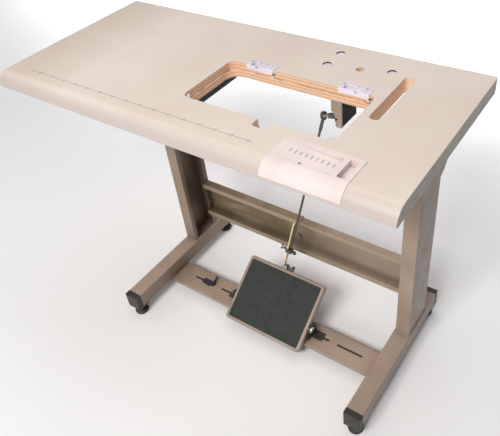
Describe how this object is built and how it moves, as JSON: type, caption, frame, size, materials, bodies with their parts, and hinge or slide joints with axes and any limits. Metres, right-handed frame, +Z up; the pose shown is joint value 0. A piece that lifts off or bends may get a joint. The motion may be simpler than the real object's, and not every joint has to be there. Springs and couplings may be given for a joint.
{
  "type": "sewing machine work table",
  "caption": "Laminated work table with a sewing-machine cut-out on a steel T-leg stand, with a tilting treadle pedal, pull rod, speed lever, drawer and levelling glides.",
  "frame": {"origin": "on the floor, at the middle of the footprint box", "axes": "+X along the top's long side towards the operator's right, -Y towards the operator, +Z up"},
  "size_m": [1.2, 0.6, 0.7815],
  "materials": {
    "box_paint": "dark green-black paint",
    "bright_steel": "bright pin",
    "cap_plastic": "dark olive plastic",
    "clear_plastic": "milky moulded plastic",
    "cover_paint": "taupe paint",
    "cream_paint": "cream paint",
    "dark_steel": "dark oiled steel",
    "drawer_plastic": "near black plastic",
    "edge_plastic": "grey-green edge strip",
    "ivory_plastic": "pinkish white moulded plastic",
    "laminate": "fine textured beige laminate, satin",
    "mat_rubber": "dark ribbed rubber",
    "pale_rubber": "pale rubber pad",
    "plywood": "bare layered plywood on cut faces",
    "purple_paint": "dark purple paint",
    "stand_paint": "taupe hammer paint, satin",
    "zinc_steel": "zinc plated steel"
  },
  "bodies": {
    "stand": {"table_core": "plywood", "table_laminate": "laminate", "edge_band": "edge_plastic", "hole_caps": "clear_plastic", "hinge_seat_left": "clear_plastic", "hinge_seat_right": "clear_plastic", "corner_cushion_left": "pale_rubber", "corner_cushion_right": "pale_rubber", "accessory_tray": "ivory_plastic", "tray_screws": "zinc_steel", "drawer_runner_left": "zinc_steel", "drawer_runner_right": "zinc_steel", "runner_screws": "zinc_steel", "left_column": "stand_paint", "right_column": "stand_paint", "left_top_arm": "stand_paint", "right_top_arm": "stand_paint", "top_arm_screws": "zinc_steel", "left_foot": "stand_paint", "right_foot": "stand_paint", "front_cap_left": "cap_plastic", "front_cap_right": "cap_plastic", "rear_cap_left": "cap_plastic", "rear_cap_right": "cap_plastic", "brace_left": "stand_paint", "brace_right": "stand_paint", "brace_bolts": "dark_steel", "treadle_bar": "stand_paint", "bar_bolts": "dark_steel", "spare_hook": "purple_paint", "pivot_bracket_left": "stand_paint", "pivot_bracket_right": "stand_paint", "bracket_bolts": "dark_steel", "pivot_bolt_left": "dark_steel", "pivot_bolt_right": "bright_steel", "control_box": "box_paint", "control_cover": "cover_paint", "control_screws": "zinc_steel", "lever_return_spring": "zinc_steel"},
    "drawer": {"drawer_tray": "drawer_plastic"},
    "pedal": {"pedal_frame": "stand_paint", "pedal_mat": "mat_rubber", "pedal_rod_lug": "dark_steel"},
    "rod": {"rod_lower_bar": "cream_paint", "rod_upper": "dark_steel", "rod_clamp": "dark_steel", "rod_end_eye": "dark_steel"},
    "thumb_screw": {"thumb_screw": "dark_steel"},
    "lever": {"lever_arm": "dark_steel", "lever_ball_stud": "bright_steel", "lever_shaft": "dark_steel"},
    "glide_front_left": {"glide_pad_front_left": "cap_plastic", "glide_stem_front_left": "zinc_steel"},
    "glide_rear_left": {"glide_pad_rear_left": "cap_plastic", "glide_stem_rear_left": "zinc_steel"},
    "glide_front_right": {"glide_pad_front_right": "cap_plastic", "glide_stem_front_right": "zinc_steel"},
    "glide_rear_right": {"glide_pad_rear_right": "cap_plastic", "glide_stem_rear_right": "zinc_steel"}
  },
  "joints": [
    {"name": "pedal_tilt", "type": "hinge", "parent": "stand", "child": "pedal", "pos_m": [0.151, -0.109, 0.075], "axis": [-1, 0, 0], "range_deg": [-4, 10], "stiffness_Nm_per_rad": 6, "springref_deg": -8.71},
    {"name": "rod_swing", "type": "hinge", "parent": "pedal", "child": "rod", "pos_m": [0.13042, 0.00767, 0.16347], "axis": [0.941, 0.1155, 0.3182], "range_deg": [-5.5, 13.4]},
    {"name": "control_lever", "type": "hinge", "parent": "stand", "child": "lever", "pos_m": [0.276, 0.11, 0.688], "axis": [0, 1, 0], "range_deg": [-27, 11]},
    {"name": "drawer_slide", "type": "slide", "parent": "stand", "child": "drawer", "axis": [0, -1, 0], "range_m": [0, 0.22]},
    {"name": "thumb_screw_turn", "type": "hinge", "parent": "rod", "child": "thumb_screw", "pos_m": [0.14855, 0.01929, 0.22106], "axis": [0.9848, -0.0169, -0.1729], "continuous": true},
    {"name": "glide_turn_front_left", "type": "hinge", "parent": "stand", "child": "glide_front_left", "pos_m": [-0.264, -0.274, 0.03], "axis": [0, 0, 1], "continuous": true},
    {"name": "glide_turn_rear_left", "type": "hinge", "parent": "stand", "child": "glide_rear_left", "pos_m": [-0.264, 0.179, 0.03], "axis": [0, 0, 1], "continuous": true},
    {"name": "glide_turn_front_right", "type": "hinge", "parent": "stand", "child": "glide_front_right", "pos_m": [0.531, -0.274, 0.03], "axis": [0, 0, 1], "continuous": true},
    {"name": "glide_turn_rear_right", "type": "hinge", "parent": "stand", "child": "glide_rear_right", "pos_m": [0.531, 0.179, 0.03], "axis": [0, 0, 1], "continuous": true}
  ],
  "couplings": [
    {"joint": "rod_swing", "follows": "pedal_tilt", "ratio": 1.3179},
    {"joint": "control_lever", "follows": "pedal_tilt", "ratio": -2.6791}
  ]
}
